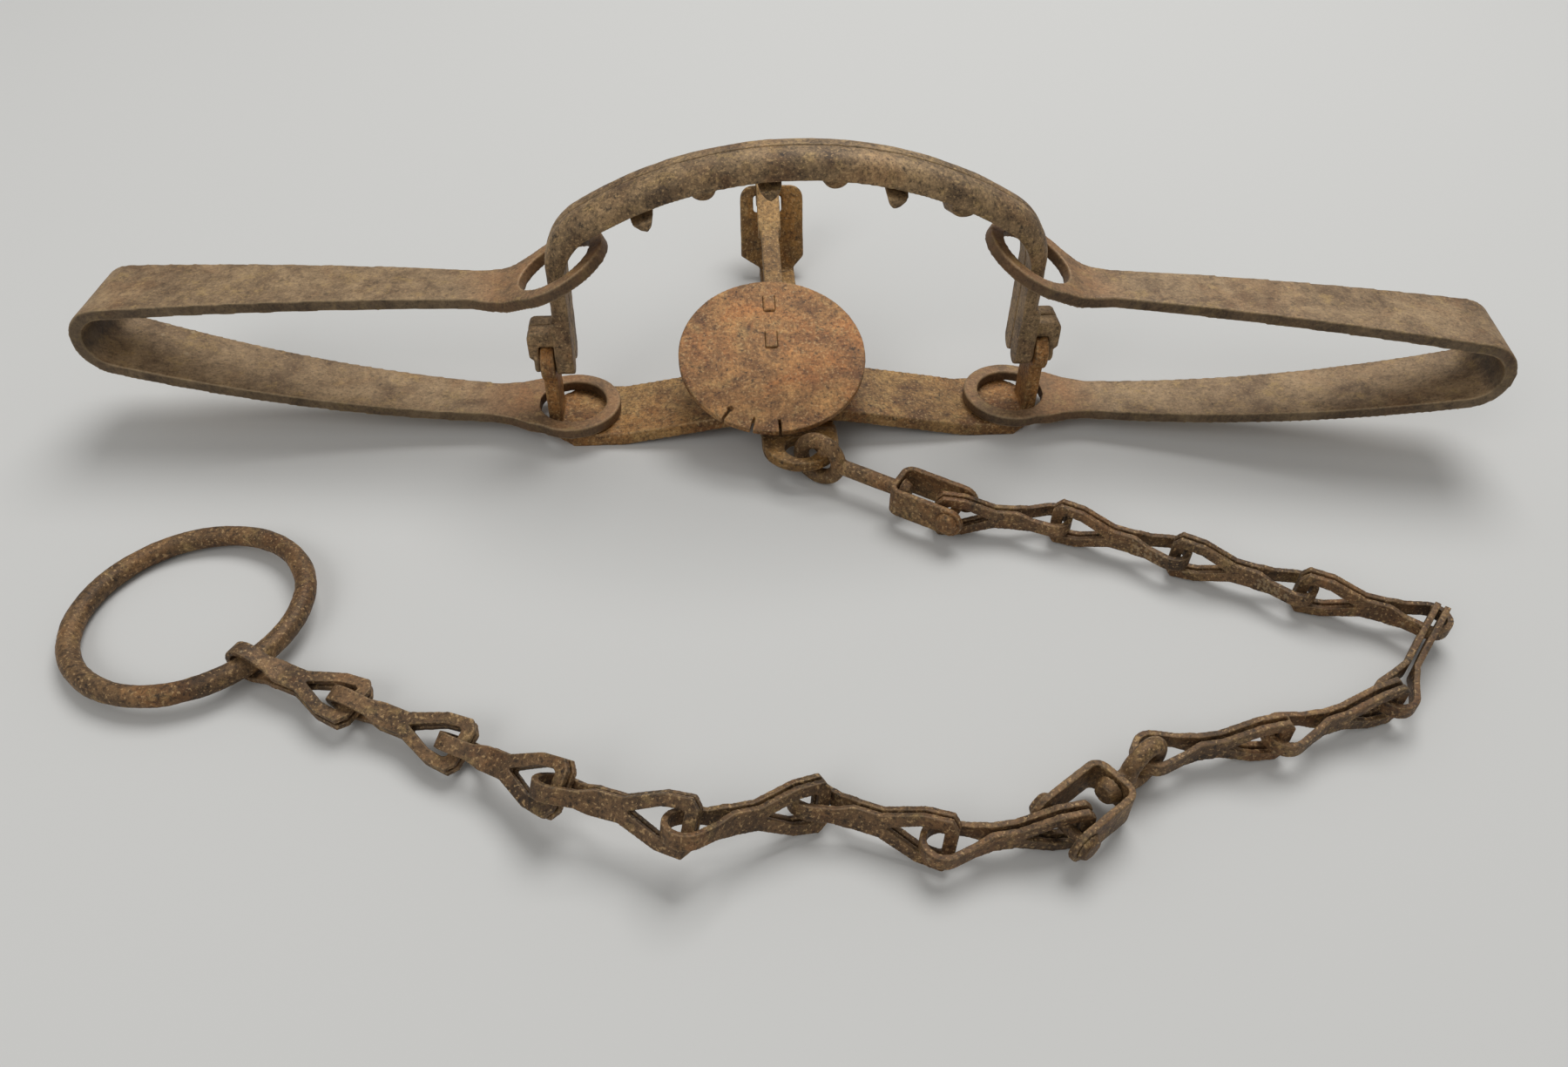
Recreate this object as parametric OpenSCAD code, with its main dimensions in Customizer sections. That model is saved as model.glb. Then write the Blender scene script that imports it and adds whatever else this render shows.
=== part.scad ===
// Double long-spring leghold trap with toothed jaws, shown sprung, with its stamped chain and drag ring.
// Millimetres. +X runs along the springs, +Y to the dog, +Z up. The floor is at z = 0.

/* [Base] */
// Distance between the middles of the two jaw posts
post_span = 166; // [150:1:190]
// Width of the base bar
base_w = 28; // [24:0.5:34]
// Thickness of the base bar
base_t = 5; // [4:0.25:6]
// Height that the middle of the base bar arches above its feet
base_rise = 8; // [7.5:0.25:11]
// Length of the flat foot at each end of the base bar, inside the post
foot_len = 20.5; // [19.5:0.5:26]
// Thickness of the turned-up posts
post_t = 4.5; // [3.5:0.25:5.5]
// Width of a post where it passes through the spring's eye
post_neck_w = 13; // [10:0.5:15]
// Height of the jaw pivots above the floor
pivot_h = 29; // [27:0.5:34]
// Radius of the post's head round each pivot
post_head_r = 6; // [5:0.25:7]

/* [Jaws] */
// Height of the closed jaws above the floor
jaw_top = 102; // [92:1:115]
// Thickness of a jaw, front to back
jaw_t = 8.5; // [6:0.25:10]
// Depth of a jaw's bar at the top of the arch
jaw_depth = 7.8; // [6:0.2:10]
// Thickness of a jaw's bar at its sides
jaw_side = 6; // [4.5:0.25:7.5]
// Radius of the arch's outer edge at the top
jaw_crown_r = 133; // [115:1:160]
// Radius of the arch's outer shoulders
jaw_shoulder_r = 22; // [16:1:28]
// Gap between the closed jaws
jaw_gap = 0.5; // [0.4:0.1:1]
// Radius of a jaw's journal in the post
journal_r = 2.6; // [2:0.1:3.2]
// Height of the lug over the post
lug_h = 5.5; // [5:0.5:9]
// Depth of the lug, front to back
lug_t = 5.5; // [5:0.25:7]
// Radius of the lug's upper corner
lug_round = 2.5; // [1:0.25:3]
// Thickness of the hook outside the post
hook_t = 3.5; // [3:0.5:6]
// How far the hook reaches down from the lug
hook_drop = 5; // [3:0.5:6]
// Radius of the hook's lower corners
hook_round = 1.4; // [0.5:0.1:1.4]
// Width of a tooth at its root
tooth_w = 7.5; // [6:0.5:10]
// How far a tooth hangs below the jaw
tooth_h = 7; // [5:0.5:10]
// How far a tooth's point reaches past the meeting face of the jaws
tooth_reach = 7; // [5:0.5:10]
// Height of a tooth's blunt nose
tooth_nose = 3.5; // [1.5:0.5:4]

/* [Springs] */
// Thickness of the spring strip
spring_t = 4; // [3:0.25:4.5]
// Length of a spring from the middle of its eye to its outer end
spring_len = 157.5; // [140:0.5:170]
// Width of the strip at its bend
spring_bend_w = 28.5; // [22:0.5:32]
// Width of the strip at the necks of its eyes
spring_neck_w = 18; // [14:0.5:22]
// Radius of the bend, to the middle of the strip
bend_r = 10.5; // [8:0.5:13]
// Inner radius of the lower eye
lower_eye_r = 11.4; // [11:0.1:12.5]
// Inner radius of the upper eye
upper_eye_r = 13; // [12.5:0.1:14]
// Width of the ring of an eye
eye_ring_w = 5; // [4:0.25:6.5]
// Height of the upper leg's middle at its neck
upper_neck_h = 53; // [50:0.5:58]
// Tilt of the upper eye, inner end up
upper_eye_tilt = 27; // [20:1:32]
// Angle that each spring is swung clockwise from the base bar, left then right
spring_swing = [5, 9.5];

/* [Cross bar and pan] */
// Width of the cross bar at its tab and its dog plate
cross_w = 25.5; // [22:0.5:30]
// Width of the cross bar's stem behind the pan
stem_w = 14; // [10:0.5:18]
// Thickness of the cross bar
cross_t = 4; // [3:0.25:4.5]
// Reach of the cross bar's tab in front of the base bar's middle
tab_reach = 40.5; // [38:0.5:46]
// Distance of the dog plate's foot behind the base bar's middle
plate_back = 95.5; // [92:0.5:105]
// Length of the dog plate
plate_h = 35; // [33:0.5:38]
// Lean of the dog plate, its top to the rear
plate_lean = 28; // [20:1:30]
// Radius of the chain hole in the tab
tab_hole_r = 5.5; // [5:0.1:6]
// Diameter of the pan
pan_d = 64; // [54:0.5:68]
// Thickness of the pan
pan_t = 2.5; // [1.5:0.25:3.5]
// Height of the pan's middle above the floor
pan_h = 27.25; // [26:0.25:31]
// Tilt of the sprung pan, front edge down
pan_tilt = 18; // [12:1:20]
// Sideways place of the pan and its post
pan_x = -8; // [-9:0.5:-7]
// Thickness of the pan's shank
shank_t = 4; // [3:0.25:4.5]
// Radius of the pan's pin
pan_pin_r = 2; // [1.5:0.1:2.5]
// Width of the dog at its eye
dog_w = 9; // [7:0.5:10]
// Width of the dog's tail
dog_tail_w = 7; // [5:0.5:8]
// Thickness of the dog's tail
dog_t = 4; // [3:0.25:4.5]
// Sideways place of the dog
dog_x = -3.5; // [-5:0.25:-2]

/* [Chain] */
// Distance from one link's eye bar to the next when the chain is taut
link_pitch = 37; // [34:0.5:42]
// Thickness of the strip that a link is stamped from
link_t = 1.7; // [1.5:0.1:1.9]
// Outer width of a link's eye
link_eye_w = 15.2; // [14.8:0.1:16]
// Width of the bar round a link's eye
link_bar = 3.3; // [2.8:0.1:3.4]
// Width of a link's folded loop
link_loop_w = 4.4; // [3.5:0.1:4.8]
// Inner radius of a link's folded loop
link_loop_r = 4.2; // [4.1:0.1:4.8]
// Radius of the trap swivel's rod
hook_rod_r = 2.6; // [2.2:0.1:2.7]
// Radius of the middle swivel's rod
eye_rod_r = 2.4; // [2:0.1:2.5]
// Thickness of the swivel straps
strap_t = 1.8; // [1.5:0.1:2.2]
// Height of the swivel straps
strap_w = 10; // [9:0.5:11]
// Radius of the swivel rivets
rivet_r = 1.6; // [1.3:0.1:1.7]
// Outer diameter of the drag ring
ring_od = 71; // [60:1:80]
// Radius of the drag ring's bar
ring_bar_r = 3.1; // [2.5:0.1:3.3]

/* [Hidden] */
$fn = 48;

// Running clearances: between moving faces, round a pin, and between seated faces
clear = 0.4;
pin_clear = 0.05;
seat_clear = 0.3;
// Distance of the base bar's middle behind the middle of the whole footprint
frame_back = 35.03;

// Places that several pieces share
post_x = post_span/2;
post_in = post_x - post_t/2;
post_out = post_x + post_t/2;
pivot_y = jaw_gap/2 + jaw_t/2;
lug_z = pivot_h + post_head_r + clear;
jaw_out = post_in - clear;
jaw_in = jaw_out - jaw_side;
inner_top = jaw_top - jaw_depth;
inner_crown_r = jaw_crown_r - jaw_depth;
eye_x = jaw_in + jaw_side/2 - 0.2;
feet_in = post_in - foot_len;
tooth_places = [-30, 10, 50];

// Shape of the springs, in the vertical plane of one spring: u outwards from the eye's middle, then height
lower_z = base_t + seat_clear + spring_t/2;
leg_start = lower_eye_r - 5;
neck_u = 27;
leg_end = spring_len - spring_t/2 - bend_r + 3;
lower_slope = 16;
upper_slope = 6;
lower_curve = (leg_end - leg_start)/tan(lower_slope);
lower_end_z = lower_z + pow(leg_end - leg_start, 2)/(2*lower_curve);
bend_u = leg_end - bend_r*sin(lower_slope);
bend_z = lower_end_z + bend_r*cos(lower_slope);
upper_start = neck_u - 7;
upper_end = bend_u + bend_r*sin(upper_slope);
upper_eye_z = upper_neck_h + (upper_start - 3)*tan(upper_eye_tilt);
flex_u = bend_u + bend_r - spring_t/2;

// Cross bar's run, as distance behind the base bar's middle and height of its middle plane
cross_z = base_rise - cross_t/2;
tab_z = hook_rod_r + hook_eye_r();
stem_end_z = cross_t/2;
hole_y = tab_reach - cross_w/2 + 4;
tab_round_y = tab_reach - cross_w/2;
pan_seat_y = 28;
cross_line = [[-tab_reach, tab_z], [-base_w/2 - 8, tab_z], [-base_w/2 - 1, cross_z], [pan_seat_y, cross_z],
              [plate_back - 20, stem_end_z], [plate_back + cross_t/2, stem_end_z]];

// Pan, its post and pin
pin_y = 19;
pin_z = base_rise + 8;
ear_t = 2.5;
ear_r = 4.5;
post_base_t = 2.5;
tenon_places = [6, 22];
tenon_len = 7;
heel_y = 27;
heel_h = 5.5;
notch = [3, 2.5];
cut_len = 5;
cut_w = 0.9;
stop_hole_r = 1;
cut_turns = [-124, -105.5, -88];

// Dog and the slot that it hangs in
rim_h = 4;
dog_eye_in = 3.2;
dog_eye_t = 3;
plate_x = -1.8;
dog_pivot_y = plate_back + (plate_h - rim_h/2)*sin(plate_lean);
dog_pivot_z = cross_t/2 + (plate_h - rim_h/2)*cos(plate_lean);
slot_w = dog_w + 2.5;
slot_h = dog_eye_t + 3.5;
dog_tip_y = 44;
dog_tip_z = cross_top(dog_tip_y) + seat_clear + dog_t/2 + 0.2;
dog_elbow = [dog_pivot_y - 20, dog_pivot_z - 8.5];
dog_line = [[dog_pivot_y - dog_eye_in - dog_eye_t/2, dog_pivot_z], dog_elbow, [dog_tip_y, dog_tip_z]];

// Chain, counted from the trap: the heading of the first link after each swivel, and for the others
// the turn about their own eye bar and the twist along the chain; then how far each is from taut
link_z = link_eye_w/2 + 0.45;
loop_seat = 1.2;
loop_u = link_pitch - loop_seat;
loop_taper = 12;
slit = 1;
waist_w = 6.5;
link_turn = [-8, -19, 0, 3, -108, -32, -10, 186, -29.4, 42.7, -42.6, -16.9, 15, 1.1];
link_twist = [0, 0, 0, 0, 0, 0, 0, 0, 18.6, 3.4, 18.2, 18.1, 18, 15.4];
link_slack = [0, 0, 0, 0, 0, 0, 2.1, 3, 3.8, 2.6, 2.6, 2.6, 3, 1.6];
links_to_middle = 7;
links = len(link_turn);
strap_gap = 11;
strap_bend_r = 3;
head_r = 4;

// Headings of the two swivels. The first link after each lies askew on its rivet, its eye bar further back.
hook_heading = -34;
eye_heading = 215;
rivet_skew = max(link_turn[0] - hook_heading, eye_heading - link_turn[links_to_middle]);
rivet_seat = link_bar/2 + seat_clear + rivet_r/cos(rivet_skew) + (link_t + slit/2)*tan(rivet_skew);

// Trap swivel: from the chain hole to its rivet
hook_len = 56;
hook_start = [0, -hole_y];
rivet_1 = hook_start + hook_len*heading(hook_heading);
hook_z = tab_z;
hook_strap_u = 35;

// Middle swivel: from the loop that holds it to its rivet
eye_ring_r = 5.9;
eye_len = 36;
eye_z = eye_ring_r + eye_rod_r + 0.1;
eye_strap_u = 2*eye_ring_r + 4.7;
eye_start = link_start(0) + run(0, 0);
rivet_2 = eye_start + eye_len*heading(eye_heading);

// Drag ring, turned in the last link's loop and dipped from it to the floor
ring_r = ring_od/2 - ring_bar_r;
ring_turn = -17;
ring_dip = 4.4;

link_names = [for (i = [1:links]) str("chain_link_", i < 10 ? "0" : "", i)];

// Mean radius of the hook's eye: it clears the tab's rim and rests on the floor
function hook_eye_r() = hook_rod_r + 4.4;

// Unit vector on the floor for a heading in degrees
function heading(a) = [cos(a), sin(a)];

// Points of an arc about a centre, between two angles
arc_steps = 6;
function arc(centre, r, from, to) =
    [for (i = [0:arc_steps]) centre + r*heading(from + (to - from)*i/arc_steps)];

// Place of the eye bar of the first link after a swivel, and the travel along the links to the middle swivel
function link_start(i) = (i == 0 ? rivet_1 : rivet_2) - rivet_seat*heading(link_turn[i]);
function run(i, facing) = i >= links_to_middle ? [0, 0]
    : (link_pitch - link_slack[i])*heading(facing + link_turn[i]) + run(i + 1, facing + link_turn[i]);

// Height of the cross bar's upper face on its stem
function cross_top(y) = cross_t/2 + cross_z
                        + (stem_end_z - cross_z)*(y - pan_seat_y)/(plate_back - 20 - pan_seat_y);

// Outline that is the same on both sides of the long axis, from points [distance, half width]
function both_sides(half) = concat([for (p = half) [p[0], -p[1]]], [for (i = [len(half) - 1:-1:0]) half[i]]);

// Outline of a strip of even thickness along a line of points
function along(pts, i) = let (d = pts[min(i + 1, len(pts) - 1)] - pts[max(i - 1, 0)]) d/norm(d);
function side(pts, i, off) = let (d = along(pts, i)) pts[i] + off*[-d[1], d[0]];
function strip(pts, t) = concat([for (i = [0:len(pts) - 1]) side(pts, i, t/2)],
                                [for (i = [len(pts) - 1:-1:0]) side(pts, i, -t/2)]);

// Middle line of a whole spring: lower leg, bend and upper leg
function lower_leg(u) = lower_z + pow(u - leg_start, 2)/(2*lower_curve);
function upper_leg(u) = upper_neck_h
                        - pow(u - upper_start, 2)/pow(upper_end - upper_start, 2)
                          *(upper_neck_h - bend_z - bend_r*cos(upper_slope));
// Height of the upper eye's middle plane, eased in where the neck bends up to it
function eye_plane(u) = let (in = upper_start - u)
                        upper_neck_h + tan(upper_eye_tilt)*(in < 6 ? in*in/12 : in - 3);
leg_steps = 14;
bend_steps = 16;
bend_turn = 180 - lower_slope - upper_slope;
spring_line = concat(
    [for (i = [0:leg_steps - 1]) let (u = leg_start + (leg_end - leg_start)*i/leg_steps) [u, lower_leg(u)]],
    [for (i = [0:bend_steps]) let (a = lower_slope - 90 + bend_turn*i/bend_steps)
        [bend_u + bend_r*cos(a), bend_z + bend_r*sin(a)]],
    [for (i = [leg_steps - 1:-1:1]) let (u = upper_start + (upper_end - upper_start)*i/leg_steps)
        [u, upper_leg(u)]],
    [for (i = [0:4]) let (u = upper_start - 4.5*i) [u, eye_plane(u)]]);

// Middle line of a link's folded strip: out along one layer, round the loop and back along the other
layer_y = (slit + link_t)/2;
loop_mid_r = link_loop_r + link_t/2;
loop_turn = atan2(layer_y, -loop_taper) - acos(loop_mid_r/norm([loop_taper, layer_y]));
loop_steps = 20;
link_line = concat(
    [[-link_bar/2 - 1, layer_y], [loop_u - loop_taper, layer_y]],
    [for (i = [0:loop_steps]) let (a = loop_turn*(1 - 2*i/loop_steps))
        [loop_u + loop_mid_r*cos(a), loop_mid_r*sin(a)]],
    [[loop_u - loop_taper, -layer_y], [-link_bar/2 - 1, -layer_y]]);

// Everything is drawn about the base bar's middle and then moved to the footprint's middle
module placed() translate([0, frame_back, 0]) children();

// A shape drawn in the vertical plane (distance along Y, height), thick along X about the middle
module across(t) rotate([90, 0, 90]) linear_extrude(t, center = true) children();

// A shape drawn in the vertical plane (distance along X, height), thick along Y about the middle
module upright(t) rotate([90, 0, 0]) linear_extrude(t, center = true) children();

// Base bar: arched flat bar with its ends turned up into drilled posts
module base_bar() color("#4a3a30") placed() difference() {
    union() {
        upright(base_w) base_profile();
        for (s = [-1, 1]) post(s);
    }
    for (s = [-1, 1], p = [-1, 1])
        translate([s*post_x, p*pivot_y, pivot_h]) rotate([0, 90, 0])
            cylinder(r = journal_r + pin_clear, h = 3*post_t, center = true);
    for (s = [-1, 1]) translate([s*rivet_spread, 0, 0]) cylinder(r = cross_rivet_r + pin_clear, h = 4*base_rise);
}
rivet_spread = 7;
cross_rivet_r = 2.5;
foot_taper = 6.5;
// Level over the cross bar, then falling evenly to the flat feet
module base_profile() {
    end_x = post_x - foot_taper + 0.2;
    level_x = cross_w/2 + 2;
    polygon([[-end_x, 0], [-feet_in, 0], [-level_x, base_rise], [level_x, base_rise], [feet_in, 0], [end_x, 0],
             [end_x, base_t], [feet_in, base_t], [level_x, base_rise + base_t], [-level_x, base_rise + base_t],
             [-feet_in, base_t], [-end_x, base_t]]);
}
module post(s) translate([s*post_x, 0, 0]) {
    across(post_t) {
        for (p = [-1, 1]) translate([p*pivot_y, pivot_h]) circle(post_head_r);
        translate([-pivot_y, pivot_h - post_head_r + 1]) square([2*pivot_y, 2*post_head_r - 1]);
        translate([-post_neck_w/2, base_t/2]) square([post_neck_w, pivot_h - base_t/2]);
    }
    rotate([90, 0, 0]) linear_extrude(post_neck_w, center = true) intersection() {
        translate([s*(post_t/2 - base_t), base_t]) circle(base_t);
        translate([-post_t - base_t, 0]) square([2*(post_t + base_t), base_t]);
    }
    rotate(90 - 90*s) linear_extrude(base_t) polygon([[-foot_taper, -base_w/2], [0.5, -post_neck_w/2 - 1.5],
                                                      [0.5, post_neck_w/2 + 1.5], [-foot_taper, base_w/2]]);
}

// Cross bar: strip under the base bar with the chain tab in front and the upturned dog plate behind
module cross_bar() color("#6b5238") placed() difference() {
    union() {
        intersection() {
            across(cross_w) polygon(strip(cross_line, cross_t));
            linear_extrude(plate_h) cross_outline();
        }
        at_plate() upright(cross_t) plate_face();
    }
    translate([0, -hole_y, 0]) cylinder(r = tab_hole_r, h = plate_h);
    at_plate() translate([dog_x - plate_x, 0, plate_h - rim_h - slot_h/2])
        cube([slot_w, 3*cross_t, slot_h], center = true);
    for (s = [-1, 1]) translate([s*rivet_spread, 0, 0]) cylinder(r = cross_rivet_r + pin_clear, h = base_rise);
}
module at_plate() translate([plate_x, plate_back, cross_t/2]) rotate([-plate_lean, 0, 0]) children();
module plate_face() {
    half = cross_w/2;
    corner_r = 5;
    foot = stem_w/2 - 0.5;
    polygon(concat([[-foot - plate_x, 0], [foot - plate_x, 0], [foot - plate_x, 2], [half, 7]],
                   [for (a = [0:15:90]) [half - corner_r*(1 - cos(a)), plate_h - corner_r*(1 - sin(a))]],
                   [for (a = [90:15:180]) [corner_r*(1 + cos(a)) - half, plate_h - corner_r*(1 - sin(a))]],
                   [[-half, 7], [-foot - plate_x, 2]]));
}
module cross_outline() {
    translate([0, -tab_round_y]) circle(cross_w/2);
    translate([-cross_w/2, -tab_round_y]) square([cross_w, tab_round_y + pan_seat_y]);
    polygon([[-cross_w/2, pan_seat_y - 1], [cross_w/2, pan_seat_y - 1], [stem_w/2, pan_seat_y + 12],
             [stem_w/2, plate_back + cross_t/2], [-stem_w/2, plate_back + cross_t/2],
             [-stem_w/2, pan_seat_y + 12]]);
}

// Rivets that hold the cross bar under the base bar
module cross_rivets() color("#5a463a") placed() for (s = [-1, 1]) translate([s*rivet_spread, 0, 0]) {
    translate([0, 0, base_rise - cross_t - 1.6]) cylinder(r = cross_rivet_r, h = base_t + cross_t + 1.8);
    translate([0, 0, base_rise + base_t + 0.05]) cylinder(r1 = 4.5, r2 = 3, h = 1.8);
    translate([0, 0, base_rise - cross_t - 1.65]) cylinder(r1 = 3, r2 = 4.2, h = 1.6);
}

// Pan post: folded bracket on the cross bar whose two ears hold the pan's pin
module pan_post() color("#54402f") placed() translate([pan_x, 0, 0]) {
    ear_place = shank_t/2 + 0.25 + ear_t/2;
    difference() {
        for (s = [-1, 1]) translate([s*ear_place, 0, 0]) across(ear_t) {
            translate([pin_y, pin_z]) circle(ear_r);
            translate([base_w/2 + 0.5, base_rise]) square([2*(pin_y - base_w/2 - 0.5), pin_z - base_rise]);
        }
        translate([0, pin_y, pin_z]) rotate([0, 90, 0])
            cylinder(r = pan_pin_r + pin_clear, h = 4*ear_place, center = true);
    }
    translate([-ear_place, base_w/2 + 0.5, base_rise + 0.02])
        cube([2*ear_place, 2*(pin_y - base_w/2 - 0.5), post_base_t]);
}

// Pan pin, peened over outside both ears
module pan_pin() color("#6e6058") placed() translate([pan_x, pin_y, pin_z]) rotate([0, 90, 0]) {
    half = shank_t/2 + 0.25 + ear_t;
    cylinder(r = pan_pin_r, h = 2*half + 1, center = true);
    for (s = [-1, 1]) translate([0, 0, s*(half + 0.65)]) cylinder(r = pan_pin_r + 1, h = 1.2, center = true);
}

// Round pan with the two slots of its shank's tenons and three saw cuts in its front edge, one with a stop hole
module tilted_pan() placed() translate([pan_x, 0, pan_h]) rotate([pan_tilt, 0, 0]) children();
module pan() color("#6d4a3c") tilted_pan() difference() {
    translate([0, 0, -pan_t]) cylinder(d = pan_d, h = pan_t, $fn = 96);
    for (y = tenon_places) translate([0, y, 0]) cube([shank_t + 0.1, tenon_len + 0.1, 3*pan_t], center = true);
    for (a = cut_turns)
        rotate(a) translate([pan_d/2, 0, 0]) cube([2*cut_len, cut_w, 3*pan_t], center = true);
    rotate(cut_turns[0]) translate([pan_d/2 - cut_len, 0, -2*pan_t]) cylinder(r = stop_hole_r, h = 3*pan_t);
}

// Shank under the pan: turns on the pin, with a notch behind it for the dog
module pan_shank() color("#5c4a3e") tilted_pan() {
    pin_local = [pin_y*cos(pan_tilt) + (pin_z - pan_h)*sin(pan_tilt),
                 (pin_z - pan_h)*cos(pan_tilt) - pin_y*sin(pan_tilt)];
    across(shank_t) difference() {
        union() {
            translate(pin_local) circle(5);
            polygon([pin_local - [4.6, 0.5], pin_local + [4.6, -0.5], [heel_y, -pan_t - heel_h],
                     [heel_y - notch[0], -pan_t - heel_h], [heel_y - notch[0], -pan_t - heel_h + notch[1]],
                     [heel_y, -pan_t - heel_h + notch[1]], [heel_y, -pan_t - 0.02], [1, -pan_t - 0.02]]);
            for (y = tenon_places) translate([y - tenon_len/2, -pan_t - 1]) square([tenon_len, pan_t + 1.8]);
        }
        translate(pin_local) circle(pan_pin_r + pin_clear);
    }
}

// Dog: a strip with its end curled round the rim of the dog plate's slot
module dog() color("#7a5c34") placed() translate([dog_x, 0, 0]) {
    difference() {
        union() {
            translate([0, dog_pivot_y, dog_pivot_z]) rotate([0, 90, 0])
                cylinder(r = dog_eye_in + dog_eye_t, h = dog_w, center = true);
            intersection() {
                across(dog_w) polygon(strip(dog_line, dog_t));
                linear_extrude(2*plate_h) polygon([
                    [dog_tail_w/2 - 1, dog_tip_y - 2], [dog_tail_w/2, dog_tip_y + 6],
                    [dog_tail_w/2, dog_elbow[0] - 1], [dog_w/2, dog_elbow[0]], [dog_w/2, dog_pivot_y],
                    [-dog_w/2, dog_pivot_y], [-dog_w/2, dog_elbow[0]], [-dog_tail_w/2, dog_elbow[0] - 1],
                    [-dog_tail_w/2, dog_tip_y + 6], [1 - dog_tail_w/2, dog_tip_y - 2]]);
            }
        }
        translate([0, dog_pivot_y, dog_pivot_z]) rotate([0, 90, 0])
            cylinder(r = dog_eye_in, h = 3*dog_w, center = true);
    }
}

// Filled arch with a crowned top, round shoulders and straight sides, from z0 up
module arch_area(half_w, top, crown_r, shoulder_r, z0) {
    centre = top - crown_r;
    shoulder_z = centre + sqrt(pow(crown_r - shoulder_r, 2) - pow(half_w - shoulder_r, 2));
    lean = (half_w - shoulder_r)/(shoulder_z - centre);
    intersection() {
        translate([0, centre]) circle(crown_r, $fn = 180);
        polygon([[-lean*(z0 - centre), z0], [lean*(z0 - centre), z0], [lean*(top + 9 - centre), top + 9],
                 [-lean*(top + 9 - centre), top + 9]]);
    }
    for (s = [-1, 1]) translate([s*(half_w - shoulder_r), shoulder_z]) circle(shoulder_r);
    translate([-half_w, z0]) square([2*half_w, shoulder_z - z0]);
}

// Front jaw: forged arch with a journal, a lug and a hook at each end. The rear jaw is the same, turned round.
module jaw() translate([0, -pivot_y, 0]) {
    upright(jaw_t) difference() {
        arch_area(jaw_out, jaw_top, jaw_crown_r, jaw_shoulder_r, pivot_h);
        arch_area(jaw_in, inner_top, inner_crown_r, jaw_shoulder_r - 4, pivot_h - 1);
    }
    for (s = [-1, 1]) {
        translate([s*(jaw_in + jaw_out)/2, 0, pivot_h]) rotate([0, 90, 0])
            cylinder(d = jaw_t, h = jaw_side, center = true);
        translate([0, (jaw_t - lug_t)/2, 0]) rotate(s > 0 ? 0 : 180) lug();
        translate([s*(jaw_out - 1), 0, pivot_h]) rotate([0, s*90, 0]) {
            cylinder(r = journal_r, h = post_out - jaw_out + 3.2);
            translate([0, 0, post_out - jaw_out + 1 + clear]) cylinder(r = journal_r + 0.8, h = 2.2 - clear);
        }
    }
}
// Lug that reaches over the right post, with the hook that hangs from it outside the post
module lug() {
    lug_out = post_out + clear + hook_t;
    hook_low = lug_z - hook_drop + hook_round;
    upright(lug_t) polygon(concat(
        [[jaw_out - 1, lug_z], [lug_out - hook_t, lug_z]],
        arc([lug_out - hook_t + hook_round, hook_low], hook_round, 180, 270),
        arc([lug_out - hook_round, hook_low], hook_round, 270, 360),
        arc([lug_out - lug_round, lug_z + lug_h - lug_round], lug_round, 0, 90),
        [[jaw_out - 1, lug_z + lug_h]]));
}
module front_jaw() color("#4b4038") placed() jaw();
module rear_jaw() color("#453a33") placed() rotate(180) jaw();

// Blunt teeth under a jaw's arch, reaching across to the other jaw on a rounded keel
module jaw_teeth() for (x = tooth_places)
    translate([0, 0, inner_top - inner_crown_r]) rotate([0, asin(x/inner_crown_r), 0])
        translate([0, 0, inner_crown_r - 0.12]) tooth();
module tooth() {
    front = -jaw_gap/2 - jaw_t + 1;
    back = -jaw_gap/2 - 0.5;
    half = tooth_w/2;
    keel_r = half + 0.3;
    keel_fall = atan2(tooth_h/2, tooth_reach - front - 4);
    intersection() {
        upright(4*jaw_t) polygon([[-half, 0], [-half, -0.4*tooth_h], [-0.45*half, -0.85*tooth_h], [0, -tooth_h],
                                  [0.45*half, -0.85*tooth_h], [half, -0.4*tooth_h], [half, 0]]);
        across(2*tooth_w) polygon([[front, 0], [front + 5, -1.25*tooth_h], [tooth_reach, -1.25*tooth_h],
                                   [tooth_reach, tooth_nose - tooth_h], [back, 0]]);
        translate([0, front + 2, -tooth_h/2]) rotate([-keel_fall, 0, 0]) translate([0, 0, keel_r])
            rotate([90, 0, 0]) cylinder(r = keel_r, h = 6*jaw_t, center = true);
    }
}
module front_jaw_teeth() color("#55483e") placed() jaw_teeth();
module rear_jaw_teeth() color("#55483e") placed() rotate(180) jaw_teeth();

// One spring is a bent strip with an eye at each end, drawn as two legs that meet at the end of the bend
module spring_strip(low, high, eye_r) {
    intersection() {
        upright(2*spring_bend_w) intersection() {
            polygon(strip(spring_line, spring_t));
            translate([0, low]) square([2*spring_len, high - low]);
        }
        linear_extrude(2*jaw_top) polygon(both_sides([
            [4, eye_r + eye_ring_w - 2], [neck_u - 20, eye_r + eye_ring_w - 2.2],
            [neck_u - 14, spring_neck_w/2 + 4.2], [neck_u - 8, spring_neck_w/2 + 1.6], [neck_u, spring_neck_w/2],
            [spring_len - bend_r, spring_bend_w/2], [spring_len + 1, spring_bend_w/2]]));
    }
}
module spring_lower() difference() {
    union() {
        spring_strip(0, bend_z, lower_eye_r);
        translate([0, 0, lower_z - spring_t/2]) cylinder(r = lower_eye_r + eye_ring_w, h = spring_t);
    }
    cylinder(r = lower_eye_r, h = jaw_top);
}
module spring_upper() difference() {
    union() {
        spring_strip(bend_z, jaw_top, upper_eye_r);
        translate([0, 0, upper_eye_z]) rotate([0, upper_eye_tilt, 0])
            cylinder(r = upper_eye_r + eye_ring_w, h = spring_t, center = true);
    }
    translate([0, 0, upper_eye_z]) rotate([0, upper_eye_tilt, 0])
        cylinder(r = upper_eye_r, h = 4*spring_t, center = true);
}
module left_place() placed() translate([-eye_x, 0, 0]) rotate(180 - spring_swing[0]) children();
module right_place() placed() translate([eye_x, 0, 0]) rotate(-spring_swing[1]) children();
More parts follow.
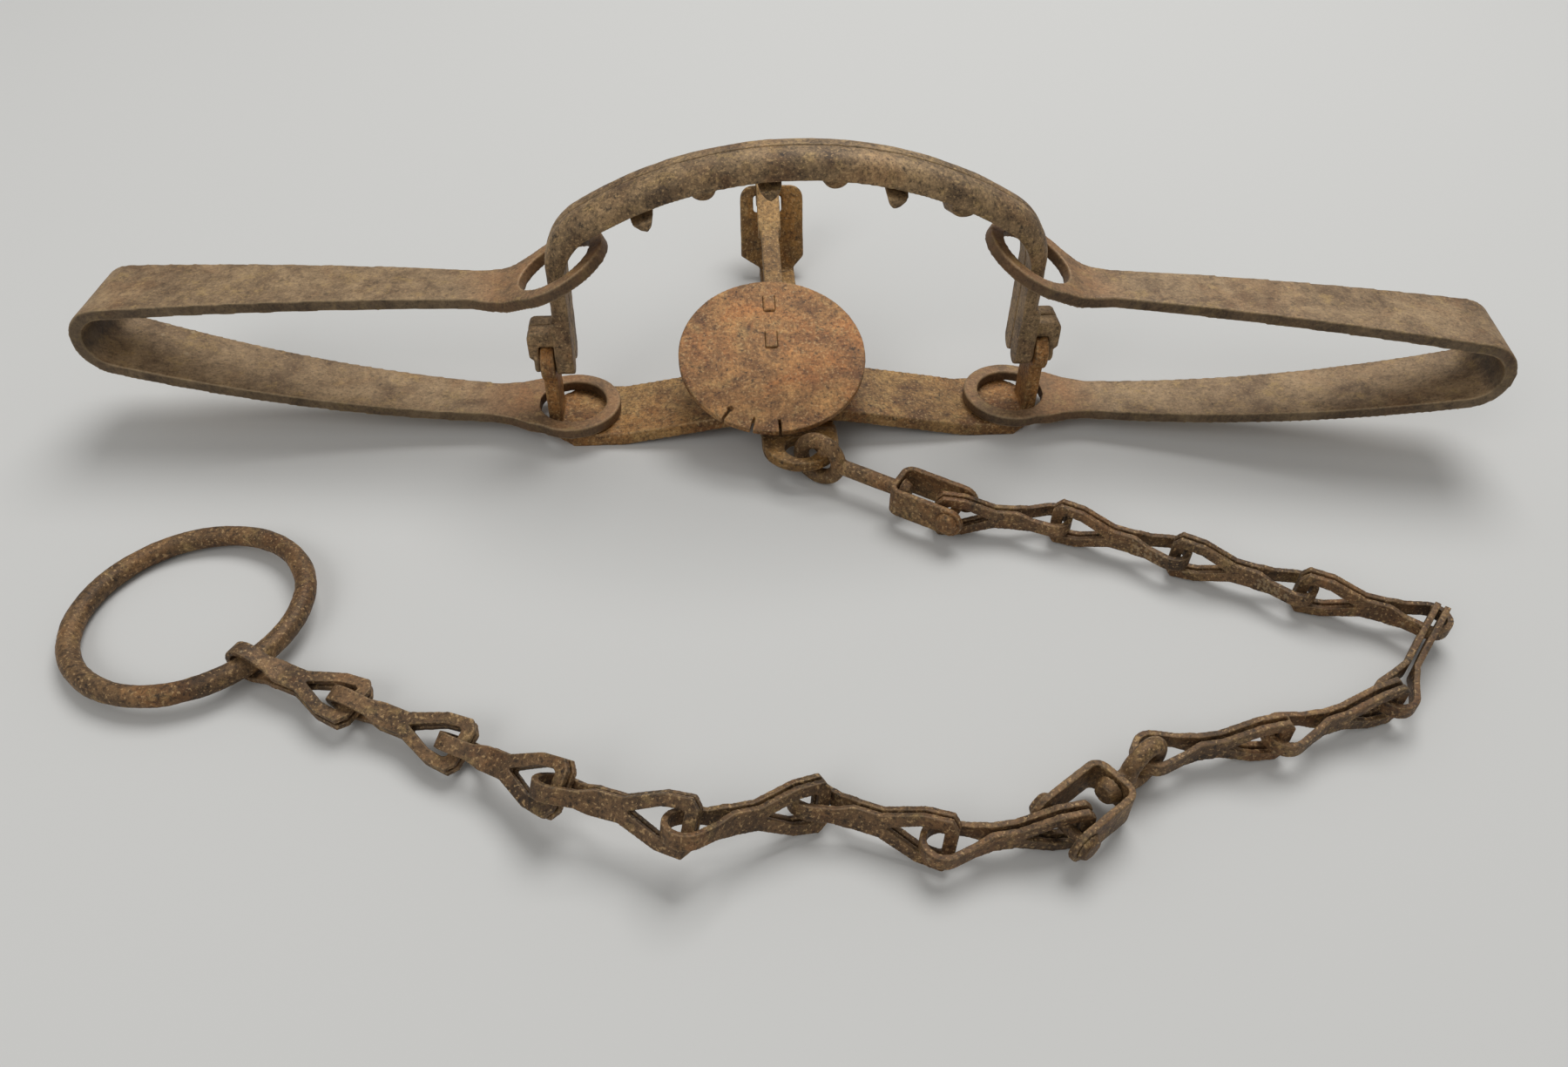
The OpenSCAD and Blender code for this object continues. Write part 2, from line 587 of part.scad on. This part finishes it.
module left_spring_lower() color("#4f4740") left_place() spring_lower();
module left_spring_upper() color("#5b5148") left_place() spring_upper();
module right_spring_lower() color("#4f4740") right_place() spring_lower();
module right_spring_upper() color("#5b5148") right_place() spring_upper();

// Swivel strap: a strip bent round the shank's head, drilled for the shank and the rivet, from u0 to u1
function strap_line(u0, u1) = let (half = (strap_gap + strap_t)/2, r = strap_bend_r) concat(
    [[u1 + strap_w, half]],
    [for (a = [90:15:180]) [u0 + strap_t/2 + r*(1 + cos(a)), half - r*(1 - sin(a))]],
    [for (a = [180:15:270]) [u0 + strap_t/2 + r*(1 + cos(a)), r*(1 + sin(a)) - half]],
    [[u1 + strap_w, -half]]);
module strap(u0, u1, shank_r) difference() {
    intersection() {
        linear_extrude(strap_w, center = true) polygon(strip(strap_line(u0, u1), strap_t));
        upright(3*strap_gap) polygon(concat([[u0 - 1, -strap_w/2]],
            [for (a = [-90:10:90]) [u1 + strap_w/2*cos(a), strap_w/2*sin(a)]], [[u0 - 1, strap_w/2]]));
    }
    rotate([0, 90, 0]) cylinder(r = shank_r + pin_clear, h = u0 + strap_t + 1);
    translate([u1, 0, 0]) rotate([90, 0, 0]) cylinder(r = rivet_r + pin_clear, h = 3*strap_gap, center = true);
}
module swivel_rivet() {
    half = strap_gap/2 + strap_t;
    rotate([90, 0, 0]) cylinder(r = rivet_r, h = 2*half + 1, center = true);
    for (s = [-1, 1]) translate([0, s*(half + 0.05), 0]) rotate([-s*90, 0, 0])
        cylinder(r1 = rivet_r + 2.4, r2 = rivet_r + 1.2, h = 1.8);
}
// Shank with a domed head, from u0 to the head's seat at u1
module shank(u0, u1, rod_r) {
    translate([u0, 0, 0]) rotate([0, 90, 0]) cylinder(r = rod_r, h = u1 - u0 + 1);
    translate([u1 + clear, 0, 0]) rotate([0, 90, 0]) cylinder(r1 = head_r, r2 = head_r - 1.4, h = 3);
}
module rod_eye(eye_r, rod_r) rotate([90, 0, 0]) rotate_extrude() translate([eye_r, 0]) circle(rod_r);

// Trap swivel: a rod bent into an eye through the tab's hole, its shank headed inside the strap
module hook_place() placed() translate([hook_start[0], hook_start[1], hook_z]) rotate(hook_heading) children();
module trap_swivel_hook() color("#5d4436") hook_place() {
    translate([hook_eye_r(), 0, 0]) rod_eye(hook_eye_r(), hook_rod_r);
    shank(2*hook_eye_r() - 1, hook_strap_u + strap_t, hook_rod_r);
}
module trap_swivel_strap() color("#5f4a3c") hook_place() strap(hook_strap_u, hook_len, hook_rod_r);
module trap_swivel_rivet() color("#6a5546") hook_place() translate([hook_len, 0, 0]) swivel_rivet();

// Middle swivel: a forged eye with a headed shank, held by a link's loop
module eye_place() placed() translate([eye_start[0], eye_start[1], eye_z]) rotate(eye_heading) children();
module middle_swivel_eye() color("#5d4436") eye_place() {
    translate([eye_ring_r, 0, 0]) rod_eye(eye_ring_r, eye_rod_r);
    shank(2*eye_ring_r - 1, eye_strap_u + strap_t, eye_rod_r);
}
module middle_swivel_strap() color("#5f4a3c") eye_place() strap(eye_strap_u, eye_len, eye_rod_r);
module middle_swivel_rivet() color("#6a5546") eye_place() translate([eye_len, 0, 0]) swivel_rivet();

// Chain link: a stamped strip folded double. Its two eyes lie together, and its fold is the next link's loop.
module link_shape() intersection() {
    linear_extrude(link_eye_w + 1, center = true) link_profile();
    upright(4*link_loop_r) link_outline();
}
module link_profile() polygon(strip(link_line, link_t));
module link_outline() {
    half = link_eye_w/2;
    waist_u = 17.5;
    difference() {
        polygon([[-link_bar/2, -half + 2.6], [0.4, -half], [7.5, -half + 0.6], [waist_u, -waist_w/2],
                 [loop_u - loop_taper + 1, -waist_w/2], [loop_u - loop_taper + 5, -link_loop_w/2],
                 [loop_u + 4*link_loop_r, -link_loop_w/2], [loop_u + 4*link_loop_r, link_loop_w/2],
                 [loop_u - loop_taper + 5, link_loop_w/2], [loop_u - loop_taper + 1, waist_w/2],
                 [waist_u, waist_w/2], [7.5, half - 0.6], [0.4, half], [-link_bar/2, half - 2.6]]);
        polygon([[link_bar/2, -half + link_bar + 0.6], [link_bar/2 + 1, -half + link_bar],
                 [7.5, -half + link_bar + 0.6], [waist_u - 1.5, 0], [7.5, half - link_bar - 0.6],
                 [link_bar/2 + 1, half - link_bar],
                 [link_bar/2, half - link_bar - 0.6]]);
    }
}
module at_link(i) {
    if (i == 0 || i == links_to_middle)
        translate([link_start(i)[0], link_start(i)[1], link_z]) rotate(link_turn[i]) children();
    else at_loop(i - 1) rotate(link_turn[i]) rotate([link_twist[i], 0, 0]) children();
}
module at_loop(i) at_link(i) translate([link_pitch - link_slack[i], 0, 0]) children();
module chain_link(i) color("#584438") placed() at_link(i) link_shape();

// Drag ring, held in the last link's loop
module drag_ring() color("#5a4336") placed() at_loop(links - 1) rotate([0, ring_turn, -ring_dip])
    translate([ring_r, 0, 0]) rotate([90, 0, 0])
        rotate_extrude($fn = 96) translate([ring_r, 0]) circle(ring_bar_r);

base_bar();
cross_bar();
cross_rivets();
pan_post();
pan_pin();
pan();
pan_shank();
dog();
front_jaw();
rear_jaw();
front_jaw_teeth();
rear_jaw_teeth();
left_spring_lower();
left_spring_upper();
right_spring_lower();
right_spring_upper();
trap_swivel_hook();
trap_swivel_strap();
trap_swivel_rivet();
middle_swivel_eye();
middle_swivel_strap();
middle_swivel_rivet();
drag_ring();
for (i = [0:links - 1]) chain_link(i);
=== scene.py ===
"""Looks of a rusted long-spring leghold trap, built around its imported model."""

import math

import bmesh
import bpy
from mathutils import Matrix, Vector


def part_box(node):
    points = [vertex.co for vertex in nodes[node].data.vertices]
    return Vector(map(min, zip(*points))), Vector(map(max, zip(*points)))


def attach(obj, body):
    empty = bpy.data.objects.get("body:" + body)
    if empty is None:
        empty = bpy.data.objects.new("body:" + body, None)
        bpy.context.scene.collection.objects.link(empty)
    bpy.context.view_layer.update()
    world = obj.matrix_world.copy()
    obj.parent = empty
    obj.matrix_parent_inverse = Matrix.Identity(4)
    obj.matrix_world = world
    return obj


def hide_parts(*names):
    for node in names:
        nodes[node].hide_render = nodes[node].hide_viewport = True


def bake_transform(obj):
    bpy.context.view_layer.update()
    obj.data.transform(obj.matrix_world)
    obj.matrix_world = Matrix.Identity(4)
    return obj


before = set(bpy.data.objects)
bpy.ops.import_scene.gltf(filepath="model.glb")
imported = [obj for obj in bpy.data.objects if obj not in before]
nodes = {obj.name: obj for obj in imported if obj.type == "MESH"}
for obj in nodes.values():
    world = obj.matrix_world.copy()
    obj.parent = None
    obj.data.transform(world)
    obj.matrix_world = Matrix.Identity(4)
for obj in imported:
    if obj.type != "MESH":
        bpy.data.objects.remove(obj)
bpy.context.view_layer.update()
mm = 0.001

# Base bar. A flat wrought bar, arched in the middle, whose ends are turned up hot into the jaw posts.
# Its faces are pitted all over, and orange rust sits in the corners that the springs keep from wear.
BAR_GRAIN = 0.5 * mm
WELD_DISTANCE = 0.001 * mm
UNEVEN_SIZE = 9 * mm
UNEVEN_DEPTH = 0.28 * mm
PIT_SIZE = 1.7 * mm
PIT_DEPTH = 0.15 * mm
BLOOM_SIZE = 30 * mm
MOTTLE_SIZE = 15 * mm
FLECK_SIZE = 7 * mm
POCK_SIZE = 2.4 * mm
GRAIN_SIZE = 1.5 * mm
GRAIN_DEPTH = 0.3 * mm
SPECK_SIZE = 0.9 * mm
DUST = "b3955f"
SPECK_DUST = "c2a070"
WORN_EDGE = "aa9470"
SCALE_ROUGHNESS = 0.6
WORN_ROUGHNESS = 0.38
SCALE_METALLIC = 0.25


def cloud_texture(name, size, depth):
    clouds = bpy.data.textures.new(name, "CLOUDS")
    clouds.noise_scale = size
    clouds.noise_depth = depth
    return clouds


uneven = cloud_texture("uneven", UNEVEN_SIZE, 1)
pits = cloud_texture("pits", PIT_SIZE, 2)


def skinned(piece, grain, passes):
    """Rounds a piece's edges to the grain of a hammered bar."""
    weld = piece.modifiers.new("weld", "WELD")
    weld.merge_threshold = WELD_DISTANCE
    skin = piece.modifiers.new("skin", "REMESH")
    skin.mode = "VOXEL"
    skin.voxel_size = grain
    skin.use_smooth_shade = True
    soften = piece.modifiers.new("soften", "SMOOTH")
    soften.factor = 0.5
    soften.iterations = passes


def roughened(piece, pitting):
    """Makes a fine skin uneven and pitted."""
    for texture, depth in ((uneven, UNEVEN_DEPTH), (pits, PIT_DEPTH)):
        rough = piece.modifiers.new(texture.name, "DISPLACE")
        rough.texture = texture
        rough.texture_coords = "LOCAL"
        rough.strength = depth * pitting
        rough.mid_level = 0.5


def forged(piece, grain, passes=3, pitting=1.0):
    """Gives a piece the soft edges and the pitted faces of old forged iron."""
    skinned(piece, grain, passes)
    roughened(piece, pitting)


def tint(hex_colour):
    """Linear colour from a written sRGB one."""
    values = [int(hex_colour[i:i + 2], 16) / 255 for i in (0, 2, 4)]
    linear = [v / 12.92 if v <= 0.04045 else ((v + 0.055) / 1.055) ** 2.4 for v in values]
    return (*linear, 1)


def noise(tree, coords, size, detail, roughness=0.6, distortion=0.0):
    """Cloudy pattern between 0 and 1 whose largest patches have the size given."""
    node = tree.nodes.new("ShaderNodeTexNoise")
    node.inputs["Scale"].default_value = 1 / size
    node.inputs["Detail"].default_value = detail
    node.inputs["Roughness"].default_value = roughness
    node.inputs["Distortion"].default_value = distortion
    tree.links.new(coords, node.inputs["Vector"])
    return node.outputs["Fac"]


def ramp(tree, value, between, colours):
    """Goes from the first colour to the second as a value goes between two limits."""
    node = tree.nodes.new("ShaderNodeValToRGB")
    for element, place, colour in zip(node.color_ramp.elements, between, colours):
        element.position = place
        element.color = colour
    tree.links.new(value, node.inputs["Fac"])
    return node.outputs["Color"]


def fade(tree, value, between, shares):
    """Goes from the first share to the second as a value goes between two limits."""
    return ramp(tree, value, between, [(share, share, share, 1) for share in shares])


def mixed(tree, share, low, high, blend="MIX"):
    """Colour that goes from low to high by share; share, low and high are sockets or plain values."""
    node = tree.nodes.new("ShaderNodeMix")
    node.data_type = "RGBA"
    node.blend_type = blend
    colours = [s for s in node.inputs if s.type == "RGBA"]
    for slot, value in ((node.inputs["Factor"], share), (colours[0], low), (colours[1], high)):
        if isinstance(value, bpy.types.NodeSocket):
            tree.links.new(value, slot)
        else:
            slot.default_value = value
    return [s for s in node.outputs if s.type == "RGBA"][0]


def shaded(tree, colour, shade):
    """Colour made darker or lighter by a shade."""
    return mixed(tree, 1.0, colour, shade, "MULTIPLY")


def reach(tree, vector, axis, start, end):
    """Share that goes from 0 to 1 as a vector's length along one axis goes from start to end."""
    split = tree.nodes.new("ShaderNodeSeparateXYZ")
    tree.links.new(vector, split.inputs["Vector"])
    length = tree.nodes.new("ShaderNodeMath")
    length.operation = "ABSOLUTE"
    tree.links.new(split.outputs[axis], length.inputs[0])
    share = tree.nodes.new("ShaderNodeMapRange")
    share.inputs["From Min"].default_value = start
    share.inputs["From Max"].default_value = end
    tree.links.new(length.outputs[0], share.inputs["Value"])
    return share.outputs["Result"]


def rusted_iron(name, light, dark, rust, worn=0.4, rusted=0.4, dusty=0.5, coarse=1.0,
                rust_near=None, painted_side_shade=None):
    """Old iron: mottled brown scale, tan dust, fine grain and pits, orange rust in hollows, worn edges.
    coarse is the strength of the grain, the pits and the specks.
    rust_near, an axis and two distances from the trap's middle, is where more rust has gathered.
    painted_side_shade is painted shade: how bright the upright faces of a strip are beside its flats, as if
    lit from above."""
    material = bpy.data.materials.new(name)
    material.use_nodes = True
    tree = material.node_tree
    shader = tree.nodes["Principled BSDF"]
    places = tree.nodes.new("ShaderNodeTexCoord")
    coords = places.outputs["Object"]
    point = tree.nodes.new("ShaderNodeNewGeometry").outputs["Pointiness"]

    # Brown scale with blooms of rust, and tan dust over it.
    mottle = noise(tree, coords, MOTTLE_SIZE, detail=9, roughness=0.72, distortion=0.4)
    body = ramp(tree, mottle, (0.38, 0.62), (tint(dark), tint(light)))
    blooms = noise(tree, coords, BLOOM_SIZE, detail=7, roughness=0.68, distortion=0.6)
    body = mixed(tree, fade(tree, blooms, (0.5, 0.66), (0, rusted)), body, tint(rust))
    if rust_near:
        patches = fade(tree, mottle, (0.4, 0.6), (0.1, 0.6))
        gathered = mixed(tree, reach(tree, coords, *rust_near), (0, 0, 0, 1), patches)
        body = mixed(tree, gathered, body, tint(rust))
    flecks = noise(tree, coords, FLECK_SIZE, detail=9, roughness=0.8)
    body = mixed(tree, fade(tree, flecks, (0.53, 0.64), (0, dusty)), body, tint(DUST))

    # Fine grain, dark pits, and specks both dark and pale.
    grain = noise(tree, coords, GRAIN_SIZE, detail=6, roughness=0.8)
    body = shaded(tree, body, fade(tree, grain, (0.36, 0.64), (1 - 0.5 * coarse, 1 + 0.4 * coarse)))
    pocks = noise(tree, coords, POCK_SIZE, detail=3, roughness=0.6)
    body = shaded(tree, body, fade(tree, pocks, (0.6, 0.68), (1, 1 - 0.6 * coarse)))
    specks = noise(tree, coords, SPECK_SIZE, detail=2, roughness=0.5)
    body = shaded(tree, body, fade(tree, specks, (0.6, 0.66), (1, 1 - 0.5 * coarse)))
    body = mixed(tree, fade(tree, specks, (0.34, 0.4), (0.5 * coarse, 0)), body, tint(SPECK_DUST))

    # Painted shade on upright faces, rust in the hollows, and edges worn bright.
    # Upright faces are painted darker than the flats, as if shaded from a lamp above: painted shade.
    if painted_side_shade:
        flat = reach(tree, places.outputs["Normal"], "Z", 0.3, 0.7)
        body = shaded(tree, body, fade(tree, flat, (0, 1), (painted_side_shade, 1)))
    body = mixed(tree, fade(tree, point, (0.38, 0.48), (0.5, 0)), body, tint(rust))
    edge = fade(tree, point, (0.52, 0.58), (0, worn))
    body = mixed(tree, edge, body, tint(WORN_EDGE))
    tree.links.new(body, shader.inputs["Base Color"])

    dull = fade(tree, edge, (0, 1), (SCALE_ROUGHNESS, WORN_ROUGHNESS))
    tree.links.new(dull, shader.inputs["Roughness"])
    shader.inputs["Metallic"].default_value = SCALE_METALLIC
    bump = tree.nodes.new("ShaderNodeBump")
    bump.inputs["Strength"].default_value = 0.4
    bump.inputs["Distance"].default_value = GRAIN_DEPTH
    tree.links.new(grain, bump.inputs["Height"])
    tree.links.new(bump.outputs["Normal"], shader.inputs["Normal"])
    return material


def paint(piece, material):
    """Gives a piece its one material."""
    piece.data.materials.clear()
    piece.data.materials.append(material)


base_rust = rusted_iron("base_rust", light="a8834f", dark="664626", rust="95591f",
                        rust_near=("X", 60 * mm, 80 * mm))
forged(nodes["base_bar"], BAR_GRAIN)
paint(nodes["base_bar"], base_rust)

# Cross bar. A strip riveted under the base bar: the chain tab in front, the dog plate turned up behind.
# The plate has weathered to a golden brown.
cross_rust = rusted_iron("cross_rust", light="96703a", dark="5c4020", rust="9c6522", rusted=0.6)
forged(nodes["cross_bar"], BAR_GRAIN)
paint(nodes["cross_bar"], cross_rust)

# Small fixings on the base. Two rivets hold the cross bar, and a folded iron post carries the pan on a
# pin that is peened over at both ends. They have rusted as the base bar has.
FIXING_GRAIN = 0.4 * mm
for name in ("cross_rivets", "pan_post", "pan_pin"):
    forged(nodes[name], FIXING_GRAIN, passes=2, pitting=0.6)
    paint(nodes[name], base_rust)

# Pan. A round stamped plate, reddish brown and finely pitted, with saw cuts in its front edge.
# Its shank is a flat plate whose two tenons are peened over on top.
PAN_GRAIN = 0.3 * mm
pan_rust = rusted_iron("pan_rust", light="ad7f4b", dark="6c4828", rust="9e5c26", rusted=0.5, dusty=0.4)
forged(nodes["pan"], PAN_GRAIN, passes=1, pitting=0.7)
forged(nodes["pan_shank"], FIXING_GRAIN, passes=2, pitting=0.6)
for name in ("pan", "pan_shank"):
    paint(nodes[name], pan_rust)

# Dog. A short iron strip curled round the rim of the plate's slot, in which it turns.
# Its curl is worn paler and brighter than the rest.
dog_rust = rusted_iron("dog_rust", light="94703e", dark="624522", rust="cfa468", worn=0.6, rusted=0.1,
                       rust_near=("Z", 22 * mm, 27 * mm))
forged(nodes["dog"], FIXING_GRAIN)
paint(nodes["dog"], dog_rust)

# Jaws. Forged arches of half-round bar, round outside and flat where they meet, with a journal and a hooked
# lug at each end. They are darker than the base, with tan dust on their fronts.
CROWN_R = 133 * mm
SHOULDER_R = 22 * mm
ARCH_HALF = 80.35 * mm
ARCH_FOOT = 46 * mm
ROUND_ACROSS = 6.5 * mm
ROUND_DOWN = 5 * mm
jaw_rust = rusted_iron("jaw_rust", light="9c815d", dark="56422d", rust="8c5a2a", worn=0.5, rusted=0.3)


def finished_skin(piece):
    """Mesh of a piece with its modifiers applied, which are then taken off the piece."""
    skin = bpy.data.meshes.new_from_object(piece.evaluated_get(bpy.context.evaluated_depsgraph_get()))
    piece.modifiers.clear()
    skin.shade_smooth()
    return skin


def placed(name, data):
    """New object that is in the scene."""
    thing = bpy.data.objects.new(name, data)
    bpy.context.scene.collection.objects.link(thing)
    return thing


def arch_edge(x, z, top):
    """How far a point lies inside the arch's outer edge, and the way inwards on X and Z."""
    crown_z = top - CROWN_R
    shoulder_x = ARCH_HALF - SHOULDER_R
    shoulder_z = crown_z + math.sqrt((CROWN_R - SHOULDER_R) ** 2 - shoulder_x ** 2)
    side = math.copysign(1, x)
    if z < shoulder_z:
        return ARCH_HALF - abs(x), -side, 0
    if abs(x) * (shoulder_z - crown_z) < shoulder_x * (z - crown_z):
        reach_x, reach_z, radius = x, z - crown_z, CROWN_R
    else:
        reach_x, reach_z, radius = x - side * shoulder_x, z - shoulder_z, SHOULDER_R
    length = math.hypot(reach_x, reach_z)
    return radius - length, -reach_x / length, -reach_z / length


def round_jaw(name, outer):
    """Skin of a jaw whose outer edge is rounded; outer is the side of its outer face on Y."""
    skinned(nodes[name], BAR_GRAIN, passes=4)
    skin = finished_skin(nodes[name])
    low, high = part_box(name)
    face = high.y if outer > 0 else low.y
    for vertex in skin.vertices:
        x, y, z = vertex.co
        if z < ARCH_FOOT:
            continue
        depth, in_x, in_z = arch_edge(x, z, high.z)
        down = 1 - depth / ROUND_DOWN
        across = 1 - (face - y) * outer / ROUND_ACROSS
        out = math.hypot(down, across)
        if min(down, across) > 0 and out > 1:
            inward = (down - down / out) * ROUND_DOWN
            vertex.co.x += in_x * inward
            vertex.co.z += in_z * inward
            vertex.co.y -= outer * (across - across / out) * ROUND_ACROSS
    jaw = placed(f"{name}_bar", skin)
    roughened(jaw, 1.0)
    paint(jaw, jaw_rust)
    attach(jaw, name)
    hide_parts(name)


round_jaw("front_jaw", -1)
round_jaw("rear_jaw", 1)

# Jaw teeth. Blunt iron studs set into the inner side of each arch, three to a jaw, so that those of one
# jaw stand between those of the other. Long wear has rounded them, so their skin is softened most.
TOOTH_GRAIN = 0.35 * mm
for name in ("front_jaw_teeth", "rear_jaw_teeth"):
    forged(nodes[name], TOOTH_GRAIN, passes=14, pitting=0.6)
    paint(nodes[name], jaw_rust)

# Long springs. Each is one strip of spring steel, bent back on itself, with an eye forged at each end.
# The strip bends at its outer end when the jaws open, so both legs are one skin.
SPRING_GRAIN = 0.55 * mm
SEAM_MARGIN = 0.01 * mm
# The springs get painted shade on their upright faces, about half as bright as their flats.
spring_rust = rusted_iron("spring_rust", light="a28866", dark="6d563d", rust="8a582a", worn=0.7, rusted=0.25,
                          coarse=0.55, rust_near=("X", 110 * mm, 96 * mm), painted_side_shade=0.48)


def whole_spring(side):
    """Joins a spring's two legs into one strip that bends across the seam between them."""
    shape = bmesh.new()
    for leg in ("lower", "upper"):
        shape.from_mesh(nodes[f"{side}_spring_{leg}"].data)
    low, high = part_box(f"{side}_spring_lower")
    seam = high.z
    caps = [f for f in shape.faces if all(abs(v.co.z - seam) < SEAM_MARGIN for v in f.verts)]
    bmesh.ops.delete(shape, geom=caps, context="FACES")
    bmesh.ops.remove_doubles(shape, verts=shape.verts, dist=SEAM_MARGIN)
    strip = bpy.data.meshes.new(f"{side}_spring")
    shape.to_mesh(strip)
    shape.free()
    spring = placed(f"{side}_spring", strip)
    forged(spring, SPRING_GRAIN, passes=3, pitting=0.4)
    spring.data = finished_skin(spring)
    paint(spring, spring_rust)
    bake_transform(spring)
    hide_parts(f"{side}_spring_lower", f"{side}_spring_upper")


for side in ("left", "right"):
    whole_spring(side)

# Swivels. A bent rod hook at the trap and a forged eye half way, each headed inside a bent iron strap
# in which it turns. A rivet across each strap holds the next link.
SWIVEL_GRAIN = 0.35 * mm
swivel_rust = rusted_iron("swivel_rust", light="80623f", dark="4a3520", rust="8a5624")
for swivel, rod in (("trap_swivel", "hook"), ("middle_swivel", "eye")):
    for piece in (rod, "strap", "rivet"):
        forged(nodes[f"{swivel}_{piece}"], SWIVEL_GRAIN, passes=2, pitting=0.8)
        paint(nodes[f"{swivel}_{piece}"], swivel_rust)

# Chain links. Each is stamped from iron strip and folded double, with two eyes at one end and a loop at
# the other. They are the darkest pieces of the trap.
LINK_GRAIN = 0.3 * mm
chain_rust = rusted_iron("chain_rust", light="7a5c3c", dark="44311e", rust="7e4e24", dusty=0.4)
for name in sorted(nodes):
    if name.startswith("chain_link"):
        forged(nodes[name], LINK_GRAIN, passes=2, pitting=0.5)
        paint(nodes[name], chain_rust)

# Drag ring. Plain round bar closed into a ring, which hangs in the loop of the last link.
# It is more deeply pitted than the rest.
RING_GRAIN = 0.6 * mm
forged(nodes["drag_ring"], RING_GRAIN, passes=2, pitting=1.5)
paint(nodes["drag_ring"], swivel_rust)

# Floor. A plain pale sheet with a matt face, laid under the whole trap.
# It is only the ground of the picture, so it is far wider than the view.
FLOOR_HALF = 4
FLOOR_COLOUR = "c9c9c7"
FLOOR_ROUGHNESS = 0.9
floor_shape = bmesh.new()
bmesh.ops.create_grid(floor_shape, x_segments=1, y_segments=1, size=FLOOR_HALF)
floor_mesh = bpy.data.meshes.new("floor")
floor_shape.to_mesh(floor_mesh)
floor_shape.free()
floor = placed("floor", floor_mesh)
pale = bpy.data.materials.new("pale_floor")
pale.use_nodes = True
pale_shader = pale.node_tree.nodes["Principled BSDF"]
pale_shader.inputs["Base Color"].default_value = tint(FLOOR_COLOUR)
pale_shader.inputs["Roughness"].default_value = FLOOR_ROUGHNESS
paint(floor, pale)

# Light. A broad soft lamp overhead and behind, a weaker one from the front left, and an even pale world.
# Together they leave soft shadows close under the bars and the chain.
WORLD_COLOUR = (1, 0.99, 0.97, 1)
WORLD_STRENGTH = 0.38


def lamp(name, place, target, size, power):
    """Round soft lamp that stands at a place and shines at a target."""
    light = bpy.data.lights.new(name, "AREA")
    light.shape = "DISK"
    light.size = size
    light.energy = power
    aim = (Vector(target) - Vector(place)).to_track_quat("-Z", "Y")
    placed(name, light).matrix_world = Matrix.Translation(place) @ aim.to_matrix().to_4x4()


lamp("overhead", place=(0.3, 0.7, 1.5), target=(0, 0.05, 0), size=1.1, power=17.5)
lamp("front", place=(-0.9, -1.0, 1.2), target=(0, 0, 0), size=1.0, power=6.5)
world = bpy.data.worlds.new("studio")
world.use_nodes = True
world.node_tree.nodes["Background"].inputs["Color"].default_value = WORLD_COLOUR
world.node_tree.nodes["Background"].inputs["Strength"].default_value = WORLD_STRENGTH
bpy.context.scene.world = world
bpy.context.scene.view_settings.view_transform = "Standard"

# Camera. It stands in front of the trap and looks down at it, turned and rolled a little,
# with the place and the lens that were fitted to the photograph.
IMAGE_WIDTH = 1800
FOCAL_PIXELS = 1347
SENSOR_WIDTH = 36
NEAREST = 10 * mm
CAMERA_PLACE = Vector((-31.15, -299.36, 255.81)) * mm
LOOK_DOWN = math.radians(43.0)
LOOK_RIGHT = math.radians(4.93)
CAMERA_ROLL = math.radians(1.53)
ahead = Vector((math.sin(LOOK_RIGHT) * math.cos(LOOK_DOWN), math.cos(LOOK_RIGHT) * math.cos(LOOK_DOWN),
                -math.sin(LOOK_DOWN)))
level = Vector((math.cos(LOOK_RIGHT), -math.sin(LOOK_RIGHT), 0))
upward = level.cross(ahead)
across = math.cos(CAMERA_ROLL) * level + math.sin(CAMERA_ROLL) * upward
upright = math.cos(CAMERA_ROLL) * upward - math.sin(CAMERA_ROLL) * level
turn = Matrix((across, upright, -ahead)).transposed().to_4x4()
camera = placed("camera", bpy.data.cameras.new("camera"))
camera.data.sensor_width = SENSOR_WIDTH
camera.data.lens = FOCAL_PIXELS * SENSOR_WIDTH / IMAGE_WIDTH
camera.data.clip_start = NEAREST
camera.matrix_world = Matrix.Translation(CAMERA_PLACE) @ turn
bpy.context.scene.camera = camera
